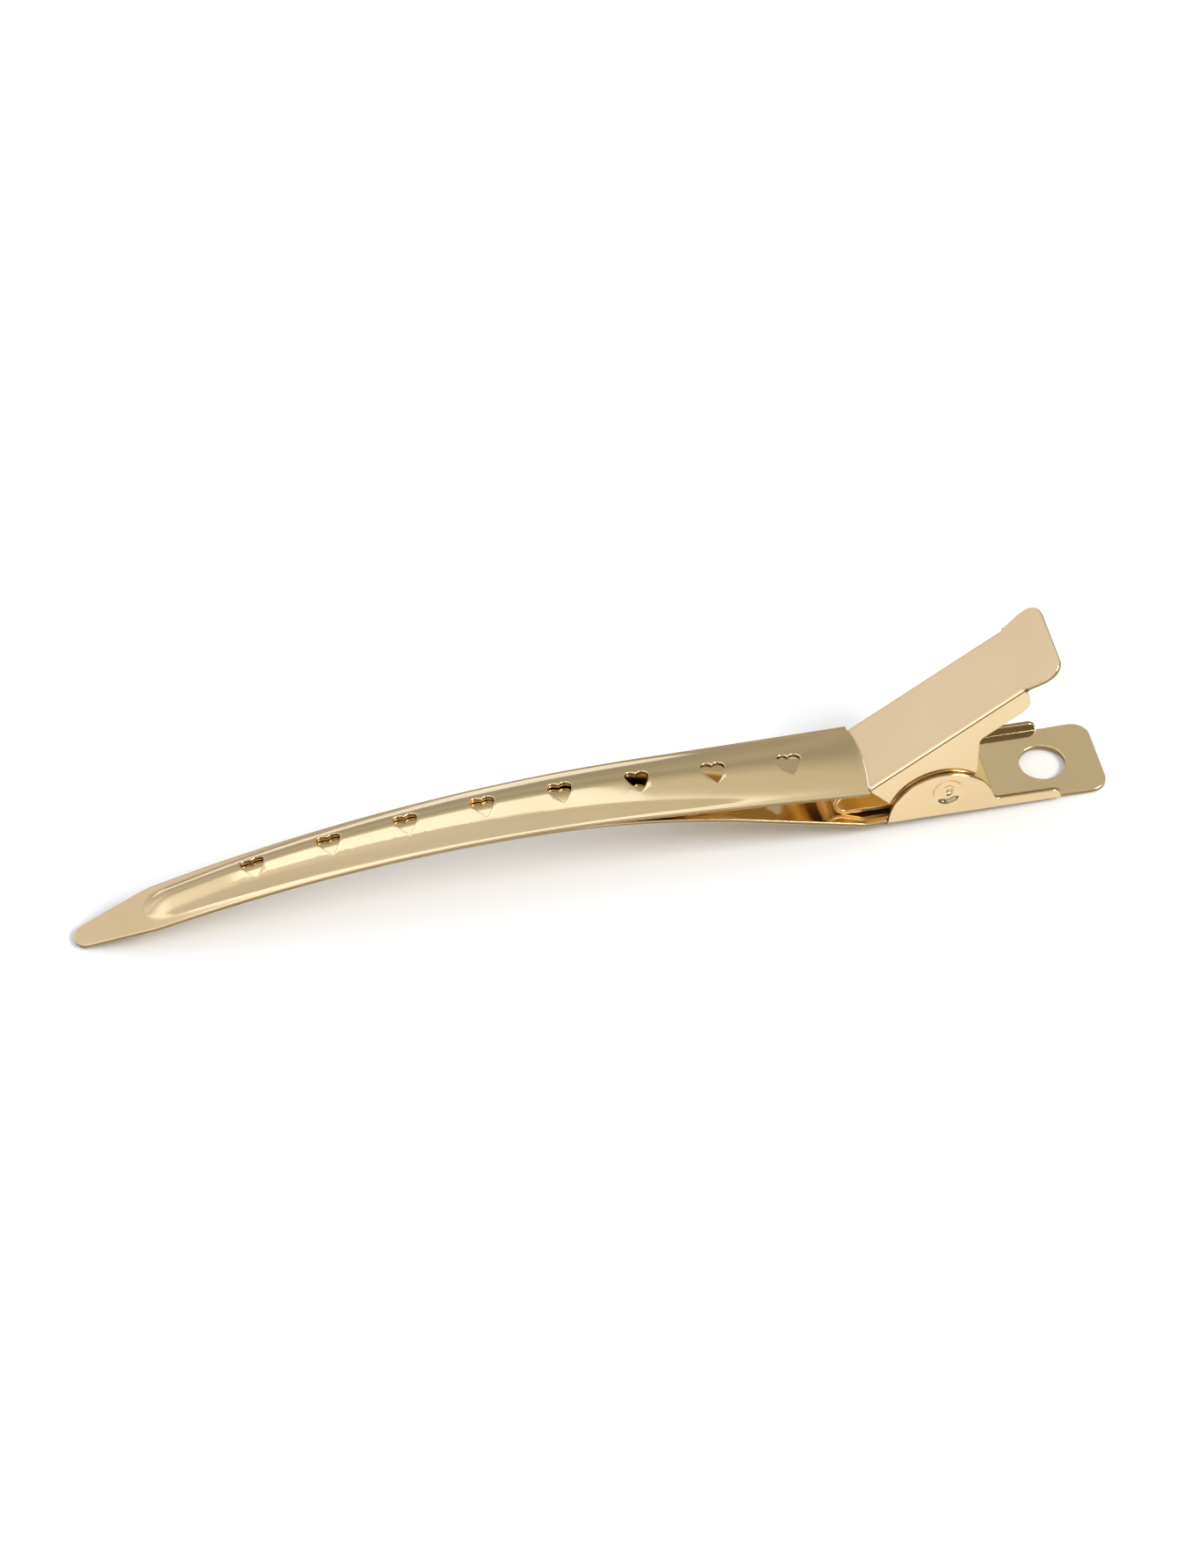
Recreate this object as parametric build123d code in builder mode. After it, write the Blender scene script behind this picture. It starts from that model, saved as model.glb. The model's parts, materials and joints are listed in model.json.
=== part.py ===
"""Duckbill hair clip: two folded sheet-metal jaws on a dimpled hinge, closed by a bent leaf spring.

Units are millimetres. The pieces are drawn with the lower lever flat on the XY plane: X runs along the
clip, the levers towards +X and the tip towards -X, Y runs across it and Z up. At the end they are tipped
onto the surface that the closed clip rests on, with the origin under the middle of the clip.
"""

from build123d import *
from math import asin, atan2, cos, degrees, radians, sin, sqrt, tan
import os

os.makedirs("parts", exist_ok=True)

# Sheet
sheet = 0.4
fold_radius = 0.3

# Lower lever, a channel with its sides folded up
lever_width = 8.6
lower_lever_length = 19.6
lower_pad_width = 8.1
pad_corner = 1.5
ear_centre = (4.7, 0.2)
ear_radius = 4.77
ear_fillet = 0.8
lip_height = 1.25
lip_end = 15.2
lip_corner = 1.0
hanging_hole_radius = 2.0
hanging_hole_x = 14.7

# Hinge: a dimple pressed inwards in each ear turns in a hole of the upper jaw
hinge_x = 5.05
hinge_z = 2.93
boss_radius = 1.0
hinge_clearance = 0.05
side_clearance = 0.05
boss_setback = 0.05
dish_radius = 1.5
dish_depth = 0.3
pit_radius = 0.55
pit_depth = 0.6

# Upper lever, a channel with its sides folded down
bend_x = -1.89
bend_z = 4.065
lever_angle = 35.4
upper_lever_length = 20.0
upper_pad_width = 8.4
upper_pad_corner = 1.3
flange_reach = 2.2
flange_bottom = 1.6
flange_front_angle = 41.0
flange_front_fillet = 1.2
flange_heel_x = 7.7
flange_heel_z = 4.8
flange_heel_fillet = 0.8
upper_lip_depth = 2.2
upper_lip_end = 16.1
upper_lip_corner = 1.4

# Upper blade, along the top line of its edges
blade_width = 8.35
shoulder_width = 4.85
waist_inset = 0.11
blade_rise = 1.6
straight_run = 18.3
bow_radius = 139.0
bow_run = 43.9
tip_bend_radius = 12.0
tip_bend = 3.0
tip_run = 6.5
tip_radius = 1.25
shoulder_fillet = 12.0
bend_tongue = 0.7

# Arch across the blades
arch_rise = 1.05
arch_border = 0.25
nose_border = 0.8

# Lower blade, nested under the upper one
nest_gap = 0.06
heel_x = -2.0
heel_rise = 12.0
nest_place = 0.45
lower_shoulder_inset = 0.5
tip_overhang = 2.0

# Hearts
heart_count = 8
heart_pitch = 6.72
first_heart = 5.97
heart_width = 2.1
heart_height = 2.4
# The lobe's radius and the flank's middle are shares of the heart, cleft and shoulder shares of the lobe
heart_lobe = 0.27
heart_flank = (0.33, -0.12)
heart_cleft = 0.45
heart_shoulder = 0.35

# Leaf spring
spring_sheet = 0.4
spring_width = 6.0
spring_gap = 0.05
curl_radius = 1.22
curl_x = -3.5
spring_knee_x = -1.5
spring_knee_radius = 2.2
lower_arm_end = 9.5
upper_arm_end = 11.0

# Cutting depth that clears every piece
through = 40.0

# Arch of the upper blade: place along it as a share of the run to the shoulder, rise as a share of
# arch_rise, and the flat border outside the arch, from arch_border (0) to nose_border (1) and wider
upper_arch = [
    dict(place=0.00, rise=0.30, border=0.0),
    dict(place=0.10, rise=0.55, border=0.0),
    dict(place=0.25, rise=0.82, border=0.0),
    dict(place=0.45, rise=1.00, border=0.0),
    dict(place=0.65, rise=1.00, border=0.2),
    dict(place=0.85, rise=0.92, border=0.6),
    dict(place=0.95, rise=0.58, border=0.9),
    dict(place=1.00, rise=0.20, border=1.2),
    dict(place=1.02, rise=0.02, border=1.8),
    dict(place=1.12, rise=0.01, border=1.8),
]
# Arch of the lower blade from its heel to the nest, where it takes on the upper blade's arch
lower_heel_arch = [
    dict(place=0.00, rise=0.01),
    dict(place=0.10, rise=0.02),
    dict(place=0.45, rise=0.38),
    dict(place=1.00, rise=1.00),
]
# Places where the blades' sections stand, and where the lower blade's stand before the nest
stations = [count / 20 for count in range(21)] + [1.02, 1.12]
heel_stations = [count / 10 for count in range(10)]

# Lines that the blades follow, from the bend to the tip, at the top of their edges
bend = Vector(bend_x, 0, bend_z)
with BuildLine(Plane.XZ) as upper_spine:
    run = PolarLine((bend_x, bend_z), straight_run, 180 - blade_rise)
    bow = JernArc(run @ 1, run % 1, bow_radius, degrees(bow_run / bow_radius))
    nod = JernArc(bow @ 1, bow % 1, tip_bend_radius, tip_bend)
    Line(nod @ 1, (nod @ 1) + (nod % 1) * tip_run)
upper_line = upper_spine.wires()[0]
shoulder_at = straight_run + bow_run
nest_start = nest_place * shoulder_at
nest_drop = sheet + nest_gap


def point_at(line, distance):
    return line.position_at(distance, position_mode=PositionMode.LENGTH)


def heading_at(line, distance):
    return line.tangent_at(distance, position_mode=PositionMode.LENGTH)


def square_down(heading):
    """Direction that points down, square to a heading towards the tip."""
    return Vector(-heading.Z, 0, heading.X)


# The lower blade leaves the heel straight, then one arc brings it tangent under the upper blade
heel = Vector(heel_x, 0, sheet)
heel_heading = Vector(-cos(radians(heel_rise)), 0, sin(radians(heel_rise)))
nest_heading = heading_at(upper_line, nest_start)
nest = point_at(upper_line, nest_start) + square_down(nest_heading) * nest_drop
corner_run = (nest - heel).cross(nest_heading).Y / heel_heading.cross(nest_heading).Y
corner = heel + heel_heading * corner_run
easing_run = (nest - corner).length
easing_turn = heel_heading.get_angle(nest_heading)
with BuildLine(Plane.XZ) as lower_spine:
    climb = Line(heel, corner - heel_heading * easing_run)
    ease = JernArc(climb @ 1, climb % 1, easing_run / tan(radians(easing_turn) / 2), easing_turn)
lower_line = lower_spine.wires()[0]


def blade_width_at(place):
    """Width of the upper blade at a place between the bend and the shoulder, its sides hollow."""
    along = min(max(place, 0), 1)
    return blade_width + (shoulder_width - blade_width) * along - 8 * waist_inset * along * (1 - along)


def row_at(table, place, column):
    """Value of a table's column at a place, straight between its rows."""
    for before, after in zip(table, table[1:]):
        if place <= after["place"]:
            share = (place - before["place"]) / (after["place"] - before["place"])
            return before[column] + (after[column] - before[column]) * share
    return table[-1][column]


def half_chord(place):
    """Half the width of the upper blade's arch."""
    border = arch_border + (nose_border - arch_border) * row_at(upper_arch, place, "border")
    return blade_width_at(place) / 2 - border


def station_plane(line, distance):
    """Section plane at a distance from a blade's rear, and the first one behind the rear."""
    return section_plane(line, distance).offset(0 if distance else bend_tongue)


def section_plane(line, distance):
    """Plane square to the line, its X across the clip and its Y upwards."""
    heading = heading_at(line, distance)
    return Plane(origin=point_at(line, distance), x_dir=(0, 1, 0), z_dir=-heading)


def arched_section(plane, chord, rise, drop=0.0):
    """Profile of arched sheet: flat borders that reach past the blade's edges, and an arc between."""
    reach = blade_width
    inner = sqrt(chord**2 - 2 * sheet * rise)
    under = drop + sheet
    with BuildSketch(plane) as section:
        with BuildLine():
            Line((-reach, -drop), (-chord, -drop))
            ThreePointArc((-chord, -drop), (0, rise - drop), (chord, -drop))
            Polyline((chord, -drop), (reach, -drop), (reach, -under), (inner, -under))
            ThreePointArc((inner, -under), (0, rise - under), (-inner, -under))
            Polyline((-inner, -under), (-reach, -under), (-reach, -drop))
        make_face()
    return section.sketch


def blade_plan(rear_x, tip_x, rear_width, front_width, tongue_width):
    """A blade from above: hollow tapering sides, a pointed tip with a round end, and a tongue at its
    rear that reaches into the lever."""
    rear = rear_width / 2
    front = front_width / 2
    waist = ((rear_x + shoulder_x) / 2, (rear + front) / 2 - waist_inset)
    round_x = tip_x + tip_radius
    reach = shoulder_x - round_x
    lean = asin((front - tip_radius) / sqrt(reach**2 + (front - tip_radius) ** 2))
    touch = (round_x - tip_radius * sin(lean), tip_radius * cos(lean))
    with BuildSketch(Plane.XY) as plan:
        with BuildLine():
            ThreePointArc((rear_x, rear), waist, (shoulder_x, front))
            Line((shoulder_x, front), touch)
            ThreePointArc(touch, (tip_x, 0), (touch[0], -touch[1]))
            Line((touch[0], -touch[1]), (shoulder_x, -front))
            ThreePointArc((shoulder_x, -front), (waist[0], -waist[1]), (rear_x, -rear))
            Line((rear_x, -rear), (rear_x, rear))
        make_face()
        for side in (front, -front):
            fillet(plan.vertices().sort_by_distance((shoulder_x, side, 0))[0], shoulder_fillet)
        with Locations((rear_x, 0)):
            Rectangle(2 * bend_tongue, tongue_width)
    return plan.sketch


# Side view of the upper lever
lever_heading = Vector(cos(radians(lever_angle)), 0, sin(radians(lever_angle)))
lever_normal = Vector(-sin(radians(lever_angle)), 0, cos(radians(lever_angle)))
lever_top = Plane(origin=bend, x_dir=lever_heading, z_dir=lever_normal)
folded_width = lever_width - 2 * (sheet + side_clearance)
half_bend = radians(lever_angle + blade_rise) / 2
mitre = half_bend - radians(blade_rise)
bend_under = bend + Vector(sin(mitre), 0, -cos(mitre)) * sheet / cos(half_bend)


def on_lever(along, below):
    """Side-view point at a distance along the upper lever and below its top."""
    point = bend + lever_heading * along - lever_normal * below
    return (point.X, point.Z)


def folded_channel(plane, width, depth, length):
    """Sheet folded to a U: its plate on the plane's X axis, its walls towards the plane's Y axis."""
    with BuildPart() as channel:
        with BuildSketch(plane) as profile:
            with Locations((0, depth / 2)):
                Rectangle(width, depth)
            fillet(profile.vertices().group_by(Axis.Y)[0], fold_radius)
            with Locations((0, (depth + sheet) / 2)):
                Rectangle(width - 2 * sheet, depth - sheet, mode=Mode.SUBTRACT)
        extrude(amount=length)
    return channel.part


def flange_outline():
    """Side of the upper lever: deep round the hinge, then a low lip with a round end."""
    front_x = bend_under.X + (bend_under.Z - flange_bottom) / tan(radians(flange_front_angle))
    lip_start_x, lip_start_z = on_lever(0, upper_lip_depth)
    lip_start_z += (flange_heel_x - lip_start_x) * tan(radians(lever_angle))
    with BuildSketch(Plane.XZ) as outline:
        with BuildLine():
            Polyline(
                (hinge_x, flange_bottom),
                (hinge_x + flange_reach, hinge_z),
                (flange_heel_x, flange_heel_z),
                (flange_heel_x, lip_start_z),
                on_lever(upper_lip_end, upper_lip_depth),
                on_lever(upper_lip_end, -sheet),
                on_lever(0, -sheet),
                (bend_x, bend_z),
                (bend_under.X, bend_under.Z),
                (front_x, flange_bottom),
                close=True,
            )
        make_face()
        for corner_point, radius in (
            ((front_x, flange_bottom), flange_front_fillet),
            ((flange_heel_x, lip_start_z), flange_heel_fillet),
            (on_lever(upper_lip_end, upper_lip_depth), upper_lip_corner),
        ):
            fillet(outline.vertices().sort_by_distance((*corner_point, 0))[0], radius)
        with Locations((hinge_x, hinge_z)):
            Circle(flange_reach)
    return outline.sketch


def heart(plane):
    """Heart with its lobes towards +Y of the plane: two round lobes over a point."""
    lobe = heart_width * heart_lobe
    lobe_y = heart_height / 2 - lobe
    shoulder = (heart_width / 2, lobe_y - lobe * heart_shoulder)
    flank = (heart_width * heart_flank[0], heart_height * heart_flank[1])
    with BuildSketch(plane) as shape:
        with BuildLine() as half:
            ThreePointArc((0, lobe_y + lobe * heart_cleft), (heart_width / 4, heart_height / 2), shoulder)
            ThreePointArc(shoulder, flank, (0, -heart_height / 2))
            mirror(about=Plane.YZ)
        make_face()
    return shape.sketch


def end_pad(plane, start, end, width, corner_radius, tongue_width):
    """Flat pad with round end corners, and a tongue at its start that reaches into the channel."""
    with BuildSketch(plane) as pad:
        with Locations(((start + end) / 2, 0)):
            Rectangle(end - start, width)
        fillet(pad.vertices().group_by(Axis.X)[-1], corner_radius)
        with Locations((start, 0)):
            Rectangle(2 * bend_tongue, tongue_width)
    return pad.sketch


def ear_outline():
    """Side of the lower lever: a round hinge ear that runs out into a low lip, and the plate below."""
    with BuildSketch(Plane.XZ) as outline:
        with Locations(ear_centre):
            Circle(ear_radius)
        with Locations((ear_centre[0], -ear_radius)):
            Rectangle(4 * ear_radius, 2 * ear_radius, mode=Mode.SUBTRACT)
        with Locations(((ear_centre[0] + lip_end) / 2, lip_height / 2)):
            Rectangle(lip_end - ear_centre[0], lip_height)
        meeting = (ear_centre[0] + sqrt(ear_radius**2 - (lip_height - ear_centre[1]) ** 2), lip_height)
        for spot, radius in ((meeting, ear_fillet), ((lip_end, lip_height), lip_corner)):
            fillet(outline.vertices().sort_by_distance((*spot, 0))[0], radius)
        with Locations(((heel_x + lip_end) / 2, sheet / 2)):
            Rectangle(lip_end - heel_x, sheet)
    return outline.sketch


def nested_chord(chord, rise):
    """Half-chord of the arch that lies nest_drop inside another arch."""
    return sqrt(chord**2 - 2 * nest_drop * rise)


# Upper lever: a folded channel cut to its side view, and its end pad
lever_start = Plane(origin=bend - lever_heading * bend_tongue, x_dir=(0, -1, 0), z_dir=lever_heading)
upper_channel = folded_channel(lever_start, folded_width, lever_width, bend_tongue + upper_lip_end)
channel_tongue = folded_width - 2 * fold_radius
with BuildPart() as thumb_lever:
    add(upper_channel)
    extrude(flange_outline(), amount=through, both=True, mode=Mode.INTERSECT)
    pad = end_pad(
        lever_top, upper_lip_end, upper_lever_length, upper_pad_width, upper_pad_corner, channel_tongue
    )
    extrude(pad, amount=-sheet)

# Upper jaw
shoulder_x = point_at(upper_line, shoulder_at).X
tip_x = (upper_line @ 1).X
# The first section stands behind the bend, so that the arch runs into the thumb plate
upper_sections = [
    arched_section(
        station_plane(upper_line, place * shoulder_at),
        half_chord(place),
        arch_rise * row_at(upper_arch, place, "rise"),
    )
    for place in stations
]

with BuildPart() as upper_jaw:
    loft(upper_sections, ruled=True)
    upper_plan = blade_plan(bend_x, tip_x, blade_width, shoulder_width, channel_tongue)
    extrude(upper_plan, amount=through, both=True, mode=Mode.INTERSECT)
    # What stands below the thumb plate behind the bend goes
    with BuildSketch(Plane.XZ):
        with BuildLine():
            Polyline(
                (bend_under.X, bend_under.Z),
                on_lever(2 * bend_tongue, sheet),
                (on_lever(2 * bend_tongue, sheet)[0], 0),
                (bend_under.X, 0),
                close=True,
            )
        make_face()
    extrude(amount=through, both=True, mode=Mode.SUBTRACT)
    add(thumb_lever.part)
    # Hinge holes and hearts
    with BuildSketch(Plane.XZ):
        with Locations((hinge_x, hinge_z)):
            Circle(boss_radius + hinge_clearance)
    extrude(amount=folded_width, both=True, mode=Mode.SUBTRACT)
    for count in range(heart_count):
        middle = section_plane(upper_line, first_heart + count * heart_pitch)
        flat = Plane(origin=middle.origin, x_dir=middle.z_dir, z_dir=middle.y_dir)
        extrude(heart(flat), amount=heart_height, both=True, mode=Mode.SUBTRACT)

# Lower lever: a folded channel cut to its side view, and its end pad
lever_rear = Plane(origin=(heel_x, 0, 0), x_dir=(0, 1, 0), z_dir=(1, 0, 0))
lower_channel = folded_channel(lever_rear, lever_width, ear_centre[1] + ear_radius, lip_end - heel_x)
lower_tongue = lever_width - 2 * fold_radius
with BuildPart() as finger_lever:
    add(lower_channel)
    extrude(ear_outline(), amount=through, both=True, mode=Mode.INTERSECT)
    pad = end_pad(Plane.XY, lip_end, lower_lever_length, lower_pad_width, pad_corner, lower_tongue)
    extrude(pad, amount=sheet)

# Lower jaw
lower_sections = []
for place in heel_stations:
    rise = arch_rise * row_at(lower_heel_arch, place, "rise") * row_at(upper_arch, nest_place, "rise")
    chord = nested_chord(half_chord(place * nest_place), rise)
    lower_sections.append(arched_section(station_plane(lower_line, place * lower_line.length), chord, rise))
for place in stations:
    if place >= nest_place:
        rise = arch_rise * row_at(upper_arch, place, "rise")
        chord = nested_chord(half_chord(place), rise)
        plane = section_plane(upper_line, place * shoulder_at)
        lower_sections.append(arched_section(plane, chord, rise, nest_drop))
lower_tip_x = tip_x + tip_overhang

with BuildPart() as lower_jaw:
    loft(lower_sections, ruled=True)
    lower_plan = blade_plan(
        heel_x, lower_tip_x, blade_width, shoulder_width - 2 * lower_shoulder_inset, lower_tongue
    )
    extrude(lower_plan, amount=through, both=True, mode=Mode.INTERSECT)
    # What stands below the lever behind the heel goes
    with BuildSketch(Plane.XZ):
        with Locations((heel_x, -sheet)):
            Rectangle(2 * bend_tongue, 2 * sheet)
    extrude(amount=through, both=True, mode=Mode.SUBTRACT)
    add(finger_lever.part)
    # Dimples
    for way in (-1, 1):
        inside = way * (lever_width / 2 - sheet)
        with BuildSketch(Plane.XZ.offset(-inside)):
            with Locations((hinge_x, hinge_z)):
                Circle(boss_radius)
        extrude(amount=way * (side_clearance + sheet - boss_setback))
        with BuildSketch(Plane.XY.offset(hinge_z)):
            outside = way * lever_width / 2
            with BuildLine():
                Polyline(
                    (hinge_x, outside),
                    (hinge_x + dish_radius, outside),
                    (hinge_x + boss_radius, outside - way * dish_depth),
                    (hinge_x + pit_radius, outside - way * pit_depth),
                    (hinge_x, outside - way * pit_depth),
                    close=True,
                )
            make_face()
        revolve(axis=Axis((hinge_x, 0, hinge_z), (0, 1, 0)), mode=Mode.SUBTRACT)
    with BuildSketch():
        with Locations((hanging_hole_x, 0)):
            Circle(hanging_hole_radius)
    extrude(amount=through, both=True, mode=Mode.SUBTRACT)

# Leaf spring: lower arm, curl in front of the hinge, knee under the bend, upper arm
half_strip = spring_sheet / 2
rise_angle = radians(heel_rise)
curl_z = sheet + (heel_x - curl_x) * tan(rise_angle) + (curl_radius + spring_gap) / cos(rise_angle)
curl = curl_radius - half_strip
arm_start = (lower_arm_end, sheet + spring_gap + half_strip)
arm_slope = atan2(curl_z - arm_start[1], arm_start[0] - curl_x) - asin(
    curl / sqrt((arm_start[0] - curl_x) ** 2 + (curl_z - arm_start[1]) ** 2)
)
curl_start = (curl_x - curl * sin(arm_slope), curl_z - curl * cos(arm_slope))
knee = (spring_knee_x, curl_z + curl)
with BuildPart() as leaf_spring:
    with BuildLine(Plane.XZ) as strip:
        Line(arm_start, curl_start)
        ThreePointArc(curl_start, (curl_x - curl, curl_z), (curl_x, curl_z + curl))
        FilletPolyline(
            (curl_x, curl_z + curl),
            knee,
            on_lever(upper_arm_end, sheet + spring_gap + half_strip),
            radius=spring_knee_radius,
        )
    strip_line = strip.wires()[0]
    with BuildSketch(Plane(origin=strip_line @ 0, x_dir=(0, 1, 0), z_dir=strip_line % 0)):
        Rectangle(spring_width, spring_sheet)
    sweep(path=strip_line)

# Tip the clip onto the surface that it rests on, and put the origin under its middle
corners = upper_jaw.vertices() + lower_jaw.vertices()
blade_corners = corners.filter_by_position(Axis.X, tip_x - sheet, heel_x)
rest_pitch = max(degrees(atan2(-spot.Z, lower_lever_length - spot.X)) for spot in blade_corners)
pieces = {"upper_jaw": upper_jaw, "lower_jaw": lower_jaw, "leaf_spring": leaf_spring}
for piece in pieces.values():
    piece.part = piece.part.moved(Location((0, 0, 0), (0, rest_pitch, 0)))
box = Compound([solid for piece in pieces.values() for solid in piece.part.solids()]).bounding_box()
middle_bottom = Vector(box.center().X, box.center().Y, box.min.Z)
for name, piece in pieces.items():
    piece.part = piece.part.moved(Location(-middle_bottom))
    print(name, round(piece.part.volume, 2), "mm3")
print("tipped by", rest_pitch, "degrees and moved by", -middle_bottom)
upper_jaw.part.label = "upper_jaw"
lower_jaw.part.label = "lower_jaw"
leaf_spring.part.label = "leaf_spring"
export_step(upper_jaw.part, "parts/upper_jaw.step")
export_step(lower_jaw.part, "parts/lower_jaw.step")
export_step(leaf_spring.part, "parts/leaf_spring.step")
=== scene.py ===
# %% [markdown]
# # A gold duckbill hair clip
# The clip is three pieces of springy sheet metal, plated pale gold. The upper jaw is a long arched blade
# pierced with hearts, bent up into a thumb lever. The lower jaw nests under it and ends in a flat finger
# lever. A leaf spring, bent to a U, pushes the two levers apart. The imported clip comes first: its box and
# its joint say where everything goes.

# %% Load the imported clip
import bmesh
import bpy
import json
from math import asin, atan2, cos, hypot, pi, radians, sin, sqrt, tan
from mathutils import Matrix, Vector, geometry, noise


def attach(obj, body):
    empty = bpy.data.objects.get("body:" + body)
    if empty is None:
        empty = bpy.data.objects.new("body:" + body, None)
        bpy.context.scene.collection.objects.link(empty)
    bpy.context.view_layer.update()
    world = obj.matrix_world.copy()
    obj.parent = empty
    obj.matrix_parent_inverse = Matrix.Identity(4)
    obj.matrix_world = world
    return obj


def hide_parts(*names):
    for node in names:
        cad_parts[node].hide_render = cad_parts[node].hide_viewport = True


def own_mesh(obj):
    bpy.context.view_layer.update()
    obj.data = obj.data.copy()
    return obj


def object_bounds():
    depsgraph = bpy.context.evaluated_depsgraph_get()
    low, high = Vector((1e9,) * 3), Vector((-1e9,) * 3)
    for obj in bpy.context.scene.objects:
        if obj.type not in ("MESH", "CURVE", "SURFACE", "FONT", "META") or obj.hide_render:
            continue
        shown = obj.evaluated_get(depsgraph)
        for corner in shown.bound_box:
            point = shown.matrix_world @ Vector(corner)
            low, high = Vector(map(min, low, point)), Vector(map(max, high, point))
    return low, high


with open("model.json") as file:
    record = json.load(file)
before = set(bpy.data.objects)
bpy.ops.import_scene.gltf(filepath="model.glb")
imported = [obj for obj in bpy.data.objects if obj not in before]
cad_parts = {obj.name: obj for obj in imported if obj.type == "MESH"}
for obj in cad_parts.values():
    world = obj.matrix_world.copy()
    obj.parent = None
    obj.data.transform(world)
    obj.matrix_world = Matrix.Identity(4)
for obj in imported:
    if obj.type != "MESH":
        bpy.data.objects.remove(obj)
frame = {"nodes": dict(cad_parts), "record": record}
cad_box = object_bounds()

print("nodes", sorted(frame["nodes"]), "box", cad_box)

# %% [markdown]
# A folded clip is easiest to draw on the bench: millimetres, the finger lever flat on the table, x along
# the clip with the levers at +x, y across it and z up. The real clip rests on its tip and its lever's end,
# so it is tipped a little. The hinge and the lever's back are both named in the record, and they fix how
# bench points go into the clip's own frame.

# %% From the bench to the clip's frame
MM = 0.001
hinge_x = 5.05
hinge_z = 2.93
record = frame["record"]
hinge = Vector(record["behaviour"]["joints"][0]["pos_m"])
mounts = {mount["name"]: mount for mount in record["mounts"]}
lever_up = -Vector(mounts["lever_back"]["axis"])
lever_along = Vector((lever_up.z, 0, -lever_up.x))


def place(x, y, z):
    """Bench point in millimetres as a point of the clip's frame in metres."""
    return hinge + (lever_along * (x - hinge_x) + Vector((0, y, 0)) + lever_up * (z - hinge_z)) * MM


print("tipped by", round(atan2(lever_up.x, lever_up.z) * 180 / pi, 2), "degrees")

# %% [markdown]
# Seen from the side, each blade is a line made of straight legs and gentle arcs, the way a press bends a
# strip. A free curve could be drawn by eye instead, but legs keep each radius and length that the press
# would use. Walking along them gives the point and the heading at any distance from the bend, and a
# distance below zero walks backwards along the first leg.

# %% Walk along a bent line
sheet = 0.4
bend_x = -1.89
bend_z = 4.065
blade_rise = radians(1.6)
straight_run = 18.3
bow_radius = 139.0
bow_run = 43.9
tip_bend_radius = 12.0
tip_bend = radians(3.0)
tip_run = 6.5
shoulder_at = straight_run + bow_run


def walk(start, heading, legs, distance):
    """Point and heading at a distance along legs of (length, turn)."""
    x, z = start
    for length, turn in legs:
        step = distance if (length, turn) == legs[-1] else min(distance, length)
        if turn:
            radius = length / turn
            x += radius * (sin(heading + step / radius) - sin(heading))
            z -= radius * (cos(heading + step / radius) - cos(heading))
            heading += step / radius
        else:
            x += step * cos(heading)
            z += step * sin(heading)
        distance -= step
        if distance <= 0:
            break
    return x, z, heading


upper_legs = [
    (straight_run, 0),
    (bow_run, bow_run / bow_radius),
    (tip_bend_radius * tip_bend, tip_bend),
    (tip_run, 0),
]


def upper_line(distance):
    return walk((bend_x, bend_z), pi - blade_rise, upper_legs, distance)


tip_x = upper_line(sum(length for length, turn in upper_legs))[0]
shoulder_x = upper_line(shoulder_at)[0]
print("upper blade: shoulder at x", round(shoulder_x, 2), "tip at x", round(tip_x, 2))

# %% [markdown]
# The lower blade climbs from its heel and eases into a line that lies one sheet and a hair's breadth
# under the upper one. Where two straight lines meet, one arc that touches both is the natural curve: the
# same length is taken off each line, and that length and the turn give the arc's radius.

# %% Line of the lower blade
heel_x = -2.0
heel_rise = radians(12.0)
nest_gap = 0.06
nest_place = 0.45
nest_drop = sheet + nest_gap
nest_x, nest_z, nest_heading = upper_line(nest_place * shoulder_at)
nest_x -= sin(nest_heading) * nest_drop
nest_z += cos(nest_heading) * nest_drop
heel_heading = pi - heel_rise
easing_turn = nest_heading - heel_heading
to_nest = (nest_x - heel_x, nest_z - sheet)
corner_run = (to_nest[0] * sin(nest_heading) - to_nest[1] * cos(nest_heading)) / sin(easing_turn)
corner_x = heel_x + corner_run * cos(heel_heading)
corner_z = sheet + corner_run * sin(heel_heading)
easing_run = hypot(nest_x - corner_x, nest_z - corner_z)
easing_radius = easing_run / tan(easing_turn / 2)
bow_end = pi - blade_rise + bow_run / bow_radius
lower_legs = [
    (corner_run - easing_run, 0),
    (easing_radius * easing_turn, easing_turn),
    ((bow_radius - nest_drop) * (bow_end - nest_heading), bow_end - nest_heading),
    ((tip_bend_radius - nest_drop) * tip_bend, tip_bend),
    (tip_run, 0),
]
lower_nest_at = lower_legs[0][0] + lower_legs[1][0]
lower_shoulder_at = lower_nest_at + lower_legs[2][0]


def lower_line(distance):
    return walk((heel_x, sheet), heel_heading, lower_legs, distance)


print("lower blade meets the nest", round(lower_nest_at, 2), "mm from its heel")

# %% [markdown]
# Across, each blade is arched: flat borders and a low round arch between them. The arch swells from the
# bend to the middle, and near the nose it narrows and stops short, which leaves the tip flat. A table
# holds how high and how wide it is along the way. Reading it with a smooth curve, not straight between
# its rows, keeps the polished metal free of kinks.

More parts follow.
